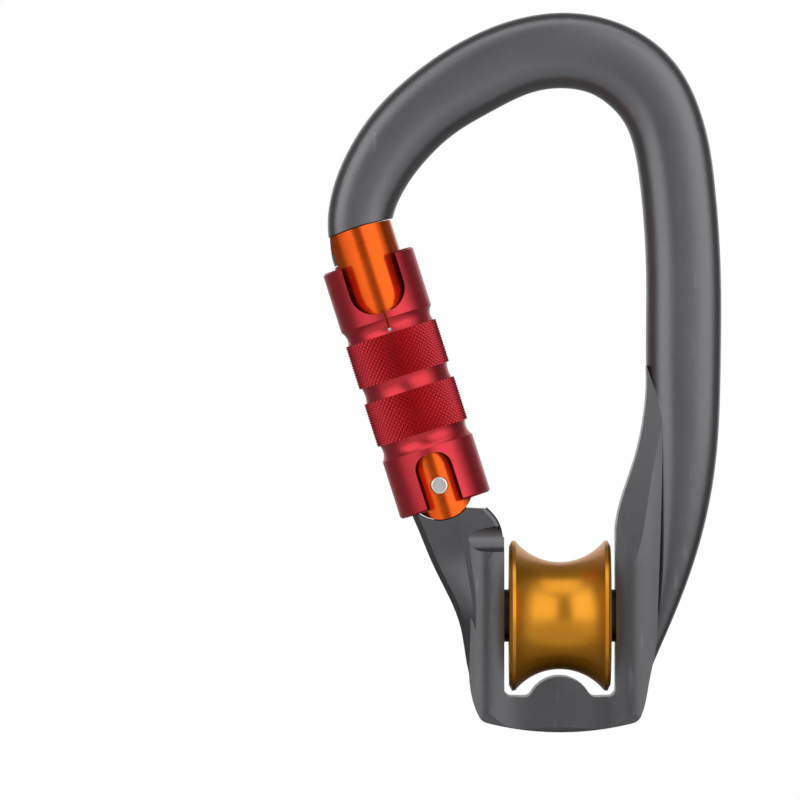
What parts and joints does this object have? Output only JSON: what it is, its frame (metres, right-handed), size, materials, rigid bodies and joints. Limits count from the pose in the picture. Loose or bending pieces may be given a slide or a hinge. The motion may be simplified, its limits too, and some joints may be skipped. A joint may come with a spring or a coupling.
{
  "type": "rope pulley",
  "caption": "Pulley carabiner with a sheave on ball bearings in a forged frame, and a sprung gate with a knurled lift-and-turn locking sleeve.",
  "frame": {"origin": "centre of the sheave, on its axle", "axes": "+X along the axle towards the spine, +Y through the frame's thickness away from the front view, +Z towards the bow"},
  "size_m": [0.0668, 0.0252, 0.1206],
  "materials": {
    "frame": "dark grey anodised, satin",
    "gate": "orange anodised",
    "sleeve": "red anodised",
    "sheave": "gold anodised",
    "bearing_steel": "ground",
    "rivet": "bright",
    "spring": "drawn wire",
    "washer": "moulded",
    "cage": "moulded",
    "seal": "moulded"
  },
  "bodies": {
    "frame": {"frame": "frame", "axle": "bearing_steel", "outer_side_washer": "washer", "spine_side_washer": "washer", "bearing_spacer": "bearing_steel", "outer_side_bearing_inner_ring": "bearing_steel", "spine_side_bearing_inner_ring": "bearing_steel"},
    "sheave": {"sheave": "sheave", "outer_side_bearing_outer_ring": "bearing_steel", "spine_side_bearing_outer_ring": "bearing_steel", "outer_side_bearing_seals": "seal", "spine_side_bearing_seals": "seal"},
    "outer_side_cage": {"outer_side_bearing_balls": "bearing_steel", "outer_side_bearing_cage": "cage"},
    "spine_side_cage": {"spine_side_bearing_balls": "bearing_steel", "spine_side_bearing_cage": "cage"},
    "gate": {"gate_body": "gate", "gate_rivet": "rivet", "gate_spring": "spring", "sleeve_spring": "spring"},
    "plunger": {"gate_plunger": "bearing_steel"},
    "seat": {"spring_seat_ring": "washer"},
    "sleeve": {"sleeve": "sleeve", "sleeve_pin": "rivet"}
  },
  "joints": [
    {"name": "sheave_spin", "type": "hinge", "parent": "frame", "child": "sheave", "pos_m": [0, 0, 0], "axis": [1, 0, 0], "continuous": true},
    {"name": "outer_side_cage_spin", "type": "hinge", "parent": "frame", "child": "outer_side_cage", "pos_m": [0, 0, 0], "axis": [1, 0, 0], "continuous": true},
    {"name": "spine_side_cage_spin", "type": "hinge", "parent": "frame", "child": "spine_side_cage", "pos_m": [0, 0, 0], "axis": [1, 0, 0], "continuous": true},
    {"name": "gate_swing", "type": "hinge", "parent": "frame", "child": "gate", "pos_m": [-0.0202, 0, 0.0219], "axis": [0, 1, 0], "range_deg": [0, 20], "stiffness_Nm_per_rad": 0.12, "springref_deg": -45.84},
    {"name": "plunger_slide", "type": "slide", "parent": "gate", "child": "plunger", "axis": [-0.304, 0, 0.9527], "range_m": [0, 0.0005], "deforming": ["gate_spring"]},
    {"name": "sleeve_lift", "type": "slide", "parent": "gate", "child": "seat", "axis": [-0.304, 0, 0.9527], "range_m": [0, 0.003], "stiffness_N_per_m": 500, "springref_m": -0.006, "deforming": ["sleeve_spring"]},
    {"name": "sleeve_turn", "type": "hinge", "parent": "seat", "child": "sleeve", "pos_m": [-0.0202, 0, 0.0219], "axis": [-0.304, 0, 0.9527], "range_deg": [0, 90], "stiffness_Nm_per_rad": 0.01, "springref_deg": -45.84}
  ],
  "couplings": [
    {"joint": "outer_side_cage_spin", "follows": "sheave_spin", "ratio": 0.5814},
    {"joint": "spine_side_cage_spin", "follows": "sheave_spin", "ratio": 0.5814},
    {"joint": "plunger_slide", "follows": "gate_swing", "m_per_rad": 0.0012975}
  ]
}
